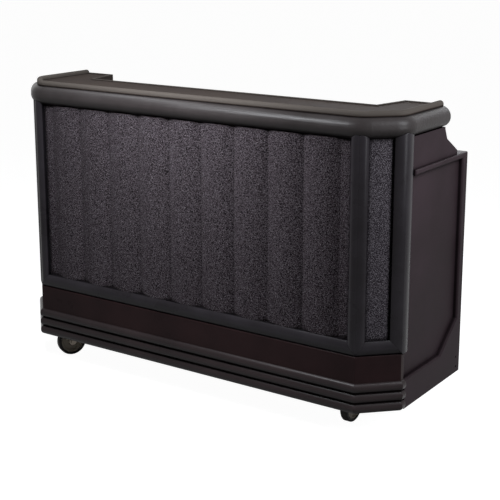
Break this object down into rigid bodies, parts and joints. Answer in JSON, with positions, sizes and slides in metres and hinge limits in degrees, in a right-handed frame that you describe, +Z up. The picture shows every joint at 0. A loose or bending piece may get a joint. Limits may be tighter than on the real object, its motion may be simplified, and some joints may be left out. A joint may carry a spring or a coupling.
{
  "type": "portable bar",
  "caption": "Portable bar with a fluted front, half-round mouldings, a winged counter, an ice bin work deck, open storage bays and swivel casters.",
  "frame": {"origin": "on the floor under the middle of the bar's footprint, between the outer faces of the base and the rear edges of the ends", "axes": "+X along the bar to the guest's right as seen from the front, +Y from the guest side to the bartender side, +Z up"},
  "size_m": [1.85, 0.65, 1.228],
  "materials": {
    "body_moulding": "rotationally moulded black polyethylene, satin",
    "base_moulding": "rotationally moulded black polyethylene, satin",
    "inner_moulding": "moulded black polyethylene, matt",
    "pebbled_panel": "charcoal sheet with a pebbled grain",
    "trim_moulding": "black half-round moulding, satin",
    "counter_edge": "brown-black bullnose moulding, satin",
    "counter_top": "brown-black moulded counter, satin",
    "stainless": "brushed stainless sheet",
    "aluminium_runner": "anodised extrusion",
    "lid_plastic": "black moulded sheet",
    "brass_fitting": "cast and turned brass",
    "red_lever": "dipped vinyl over steel",
    "tray_plastic": "black moulded plastic",
    "zinc_steel": "zinc plated pressed steel",
    "wheel_centre": "grey-brown moulded plastic",
    "tyre": "black rubber tread",
    "pedal_plastic": "black coated steel pedal"
  },
  "bodies": {
    "cabinet": {"front_wall": "body_moulding", "end_wall_left": "body_moulding", "end_wall_right": "body_moulding", "base_bumper": "base_moulding", "floor_deck": "inner_moulding", "front_panel": "pebbled_panel", "corner_panel_left": "pebbled_panel", "corner_panel_right": "pebbled_panel", "front_post_left": "trim_moulding", "front_post_right": "trim_moulding", "side_post_left": "trim_moulding", "side_post_right": "trim_moulding", "lower_rail_front": "trim_moulding", "lower_rail_left": "trim_moulding", "lower_rail_right": "trim_moulding", "bullnose_edge": "counter_edge", "counter_top": "counter_top", "counter_brackets": "zinc_steel", "partition_left": "inner_moulding", "partition_right": "inner_moulding", "shelf_left": "inner_moulding", "shelf_right": "inner_moulding", "speed_rail_left": "stainless", "speed_rail_right": "stainless", "speed_rail_screws": "zinc_steel", "work_deck_left": "inner_moulding", "work_deck_middle": "inner_moulding", "work_deck_right": "inner_moulding", "ice_bin": "stainless", "lid_runners": "aluminium_runner", "ice_lid_fixed": "lid_plastic", "bin_drain": "brass_fitting", "drain_valve": "brass_fitting", "bottle_well": "stainless", "garnish_tray": "tray_plastic", "caster_bolts": "zinc_steel", "front_left_plate": "zinc_steel", "front_right_plate": "zinc_steel", "rear_left_plate": "zinc_steel", "rear_right_plate": "zinc_steel"},
    "front_left_caster": {"front_left_fork": "zinc_steel", "front_left_axle": "zinc_steel"},
    "front_left_road_wheel": {"front_left_wheel": "wheel_centre", "front_left_tyre": "tyre"},
    "front_right_caster": {"front_right_fork": "zinc_steel", "front_right_axle": "zinc_steel"},
    "front_right_road_wheel": {"front_right_wheel": "wheel_centre", "front_right_tyre": "tyre"},
    "rear_left_caster": {"rear_left_fork": "zinc_steel", "rear_left_axle": "zinc_steel"},
    "rear_left_road_wheel": {"rear_left_wheel": "wheel_centre", "rear_left_tyre": "tyre"},
    "rear_right_caster": {"rear_right_fork": "zinc_steel", "rear_right_axle": "zinc_steel"},
    "rear_right_road_wheel": {"rear_right_wheel": "wheel_centre", "rear_right_tyre": "tyre"},
    "rear_left_brake_pedal": {"rear_left_brake": "pedal_plastic"},
    "rear_right_brake_pedal": {"rear_right_brake": "pedal_plastic"},
    "ice_lid": {"ice_lid_sliding": "lid_plastic"},
    "valve_lever": {"drain_lever": "red_lever"}
  },
  "joints": [
    {"name": "front_left_swivel", "type": "hinge", "parent": "cabinet", "child": "front_left_caster", "pos_m": [-0.69, -0.192, 0.145], "axis": [0, 0, 1], "continuous": true},
    {"name": "front_left_roll", "type": "hinge", "parent": "front_left_caster", "child": "front_left_road_wheel", "pos_m": [-0.70589, -0.22319, 0.0635], "axis": [0.891, -0.454, 0], "continuous": true},
    {"name": "front_right_swivel", "type": "hinge", "parent": "cabinet", "child": "front_right_caster", "pos_m": [0.69, -0.192, 0.145], "axis": [0, 0, 1], "continuous": true},
    {"name": "front_right_roll", "type": "hinge", "parent": "front_right_caster", "child": "front_right_road_wheel", "pos_m": [0.69, -0.157, 0.0635], "axis": [1, 0, 0], "continuous": true},
    {"name": "rear_left_swivel", "type": "hinge", "parent": "cabinet", "child": "rear_left_caster", "pos_m": [-0.69, 0.192, 0.145], "axis": [0, 0, 1], "continuous": true},
    {"name": "rear_left_roll", "type": "hinge", "parent": "rear_left_caster", "child": "rear_left_road_wheel", "pos_m": [-0.69, 0.227, 0.0635], "axis": [1, 0, 0], "continuous": true},
    {"name": "rear_right_swivel", "type": "hinge", "parent": "cabinet", "child": "rear_right_caster", "pos_m": [0.69, 0.192, 0.145], "axis": [0, 0, 1], "continuous": true},
    {"name": "rear_right_roll", "type": "hinge", "parent": "rear_right_caster", "child": "rear_right_road_wheel", "pos_m": [0.69, 0.227, 0.0635], "axis": [1, 0, 0], "continuous": true},
    {"name": "rear_left_brake_press", "type": "hinge", "parent": "rear_left_caster", "child": "rear_left_brake_pedal", "pos_m": [-0.69, 0.238, 0.135], "axis": [1, 0, 0], "range_deg": [-8, 0]},
    {"name": "rear_right_brake_press", "type": "hinge", "parent": "rear_right_caster", "child": "rear_right_brake_pedal", "pos_m": [0.69, 0.238, 0.135], "axis": [1, 0, 0], "range_deg": [-8, 0]},
    {"name": "ice_lid_slide", "type": "slide", "parent": "cabinet", "child": "ice_lid", "axis": [-1, 0, 0], "range_m": [0, 0.26]},
    {"name": "valve_turn", "type": "hinge", "parent": "cabinet", "child": "valve_lever", "pos_m": [0, 0.106, 0.649], "axis": [0, 0, 1], "range_deg": [0, 90]}
  ]
}
